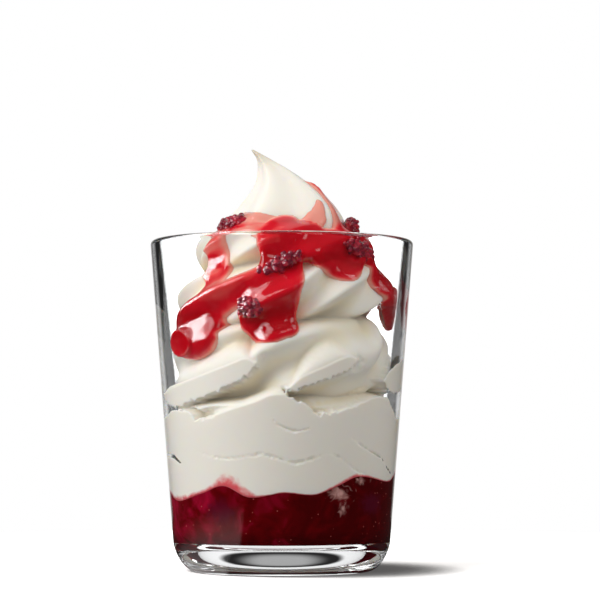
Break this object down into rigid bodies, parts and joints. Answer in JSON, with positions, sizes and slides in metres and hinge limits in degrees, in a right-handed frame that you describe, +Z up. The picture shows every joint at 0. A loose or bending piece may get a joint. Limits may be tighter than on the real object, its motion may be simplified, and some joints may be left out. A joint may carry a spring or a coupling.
{
  "type": "ice cream sundae",
  "caption": "Soft serve piped in a coil on berry sauce in a clear tapered tumbler, with berry sauce and crushed berries poured over the peak.",
  "frame": {"origin": "middle of the tumbler's foot, on the surface that it stands on", "axes": "+Z up, -Y towards the front of the serving, +X to the right seen from the front"},
  "size_m": [0.084, 0.084, 0.1347],
  "materials": {
    "glass": "clear, fire-polished, thick-walled",
    "cream": "smooth satin soft serve, chalkier where it is pressed on the glass",
    "sauce_bottom": "dark wet berry sauce",
    "sauce_topping": "glossy translucent berry sauce",
    "berry": "wet crushed drupelets"
  },
  "bodies": {
    "root": {"glass_tumbler": "glass", "soft_serve": "cream", "berry_sauce_bottom": "sauce_bottom", "berry_sauce_topping": "sauce_topping", "berry_piece_1": "berry", "berry_piece_2": "berry", "berry_piece_3": "berry", "berry_piece_4": "berry", "berry_piece_5": "berry", "berry_piece_6": "berry", "berry_piece_7": "berry"}
  },
  "joints": []
}
